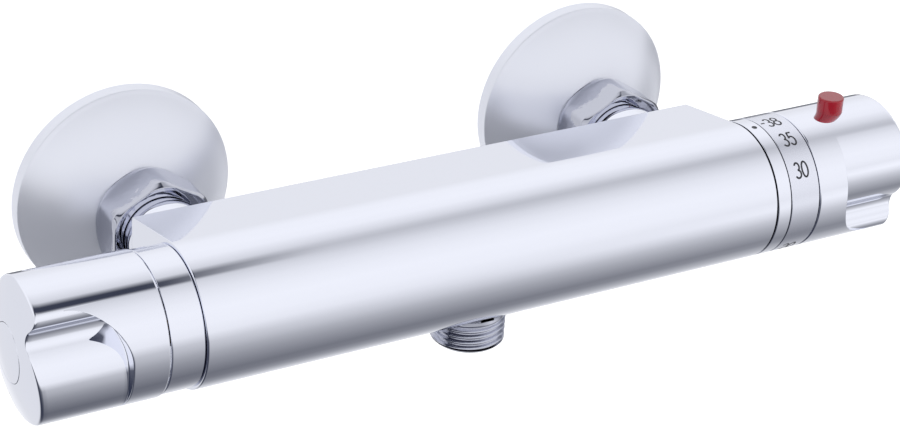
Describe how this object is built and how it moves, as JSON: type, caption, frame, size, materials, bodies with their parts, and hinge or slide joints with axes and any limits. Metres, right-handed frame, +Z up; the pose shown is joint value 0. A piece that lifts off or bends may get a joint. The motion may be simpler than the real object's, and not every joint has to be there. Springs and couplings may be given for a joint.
{
  "type": "thermostatic shower valve",
  "caption": "Wall-mounted thermostatic bar shower valve with a flow handle, a numbered temperature handle, a red safety button and a threaded bottom outlet.",
  "frame": {"origin": "where the hot wall thread's axis meets the finished wall", "axes": "+X along the bar towards the temperature handle, +Y into the wall, +Z up"},
  "size_m": [0.2772, 0.1062, 0.0644],
  "materials": {
    "polished_chrome": "polished",
    "satin_chrome": "fine satin",
    "plated_brass": "plated, dull on the wall thread",
    "brass": "turned",
    "stainless_steel": "drawn wire and turned",
    "white_plastic": "moulded",
    "ceramic": "ground ceramic",
    "black_rubber": "moulded",
    "grey_foam": "closed-cell foam",
    "red_plastic": "moulded, glossy"
  },
  "bodies": {
    "valve": {"cold_check_spring": "stainless_steel", "cold_check_valve": "white_plastic", "cold_filter_washer": "black_rubber", "cold_inlet_tail": "polished_chrome", "cold_union_nut": "polished_chrome", "cold_wall_connector": "plated_brass", "cold_wall_plate": "polished_chrome", "cold_wall_seal": "grey_foam", "flow_cartridge_housing": "brass", "flow_cartridge_o_ring": "black_rubber", "flow_collar": "polished_chrome", "flow_fixed_disc": "ceramic", "flow_lip_seal": "black_rubber", "hot_check_spring": "stainless_steel", "hot_check_valve": "white_plastic", "hot_filter_washer": "black_rubber", "hot_inlet_tail": "polished_chrome", "hot_side_o_ring": "black_rubber", "hot_union_nut": "polished_chrome", "hot_wall_connector": "plated_brass", "hot_wall_plate": "polished_chrome", "hot_wall_seal": "grey_foam", "index_collar": "polished_chrome", "mixed_side_o_ring": "black_rubber", "outlet_nipple": "polished_chrome", "outlet_nipple_seal": "black_rubber", "safety_stop_ring": "white_plastic", "thermostat_head": "brass", "thermostat_head_o_ring": "black_rubber", "thermostat_housing": "white_plastic", "thermostat_return_spring": "stainless_steel", "valve_body": "polished_chrome"},
    "flow_control": {"flow_handle": "polished_chrome", "flow_handle_insert": "white_plastic", "flow_handle_screw": "stainless_steel", "flow_end_cap": "polished_chrome", "flow_spindle": "brass", "flow_spindle_o_ring": "black_rubber", "flow_spindle_clip": "stainless_steel", "flow_turning_disc": "ceramic"},
    "temperature_control": {"temperature_handle": "polished_chrome", "dial_ring": "satin_chrome", "temperature_handle_insert": "white_plastic", "temperature_handle_screw": "stainless_steel", "temperature_end_cap": "polished_chrome", "temperature_spindle": "brass", "temperature_spindle_o_ring": "black_rubber", "temperature_spindle_clip": "stainless_steel", "safety_button_spring": "stainless_steel"},
    "button": {"safety_button": "red_plastic"},
    "regulator": {"regulating_nut": "brass", "overtravel_spring": "stainless_steel", "overtravel_cup": "white_plastic", "wax_piston": "stainless_steel"},
    "mixing_shuttle": {"shuttle": "white_plastic", "wax_element": "brass"},
    "hot_poppet": {"hot_check_poppet": "white_plastic"},
    "cold_poppet": {"cold_check_poppet": "white_plastic"}
  },
  "joints": [
    {"name": "flow_turn", "type": "hinge", "parent": "valve", "child": "flow_control", "pos_m": [0.075, -0.0712, 0], "axis": [-1, 0, 0], "range_deg": [0, 90]},
    {"name": "temperature_turn", "type": "hinge", "parent": "valve", "child": "temperature_control", "pos_m": [0.075, -0.0712, 0], "axis": [1, 0, 0], "range_deg": [-119, 82]},
    {"name": "button_press", "type": "slide", "parent": "temperature_control", "child": "button", "axis": [0, 0, -1], "range_m": [0, 0.003], "stiffness_N_per_m": 300, "springref_m": -0.002, "deforming": ["safety_button_spring"]},
    {"name": "regulator_slide", "type": "slide", "parent": "valve", "child": "regulator", "axis": [1, 0, 0], "range_m": [-0.001, 0.0007]},
    {"name": "shuttle_slide", "type": "slide", "parent": "valve", "child": "mixing_shuttle", "axis": [1, 0, 0], "range_m": [-0.0005, 0.00035], "deforming": ["thermostat_return_spring"]},
    {"name": "hot_check_open", "type": "slide", "parent": "valve", "child": "hot_poppet", "axis": [0, -1, 0], "range_m": [0, 0.003], "stiffness_N_per_m": 100, "springref_m": -0.001, "deforming": ["hot_check_spring"]},
    {"name": "cold_check_open", "type": "slide", "parent": "valve", "child": "cold_poppet", "axis": [0, -1, 0], "range_m": [0, 0.003], "stiffness_N_per_m": 100, "springref_m": -0.001, "deforming": ["cold_check_spring"]}
  ],
  "couplings": [
    {"joint": "regulator_slide", "follows": "temperature_turn", "m_per_rad": 0.000477},
    {"joint": "shuttle_slide", "follows": "temperature_turn", "m_per_rad": 0.000239}
  ]
}
